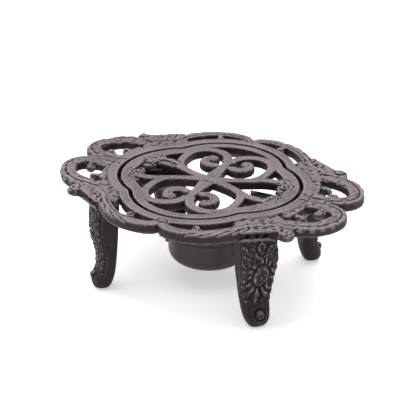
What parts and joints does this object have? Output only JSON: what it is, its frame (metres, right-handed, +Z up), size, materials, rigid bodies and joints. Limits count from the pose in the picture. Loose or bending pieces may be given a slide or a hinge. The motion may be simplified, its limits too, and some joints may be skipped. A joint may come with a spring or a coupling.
{
  "type": "teapot warmer",
  "caption": "Openwork cast-iron teapot warmer: a scrolled oval frame on cabriole legs, a lift-out quatrefoil grate with heart scrolls, and a tealight cup hung below it.",
  "frame": {"origin": "on the floor under the middle of the stand", "axes": "+Z up, +X along the long axis of the frame, towards its right-hand end loops"},
  "size_m": [0.182, 0.1436, 0.063],
  "materials": {
    "casting": "matt brown-black, sand-cast grain",
    "cup": "smoother matt brown-black",
    "strap": "matt dark paint",
    "fastener": "matt dark paint"
  },
  "bodies": {
    "stand": {"frame": "casting", "leg_front_left": "casting", "leg_front_right": "casting", "leg_back_left": "casting", "leg_back_right": "casting", "tealight_cup": "cup", "hanger_left": "strap", "hanger_right": "strap", "leg_screws": "fastener", "hanger_screws": "fastener", "cup_rivets": "fastener"},
    "grate": {"grate": "casting"}
  },
  "joints": [
    {"name": "grate_lift", "type": "slide", "parent": "stand", "child": "grate", "axis": [0, 0, 1], "range_m": [0, 0.08]}
  ]
}
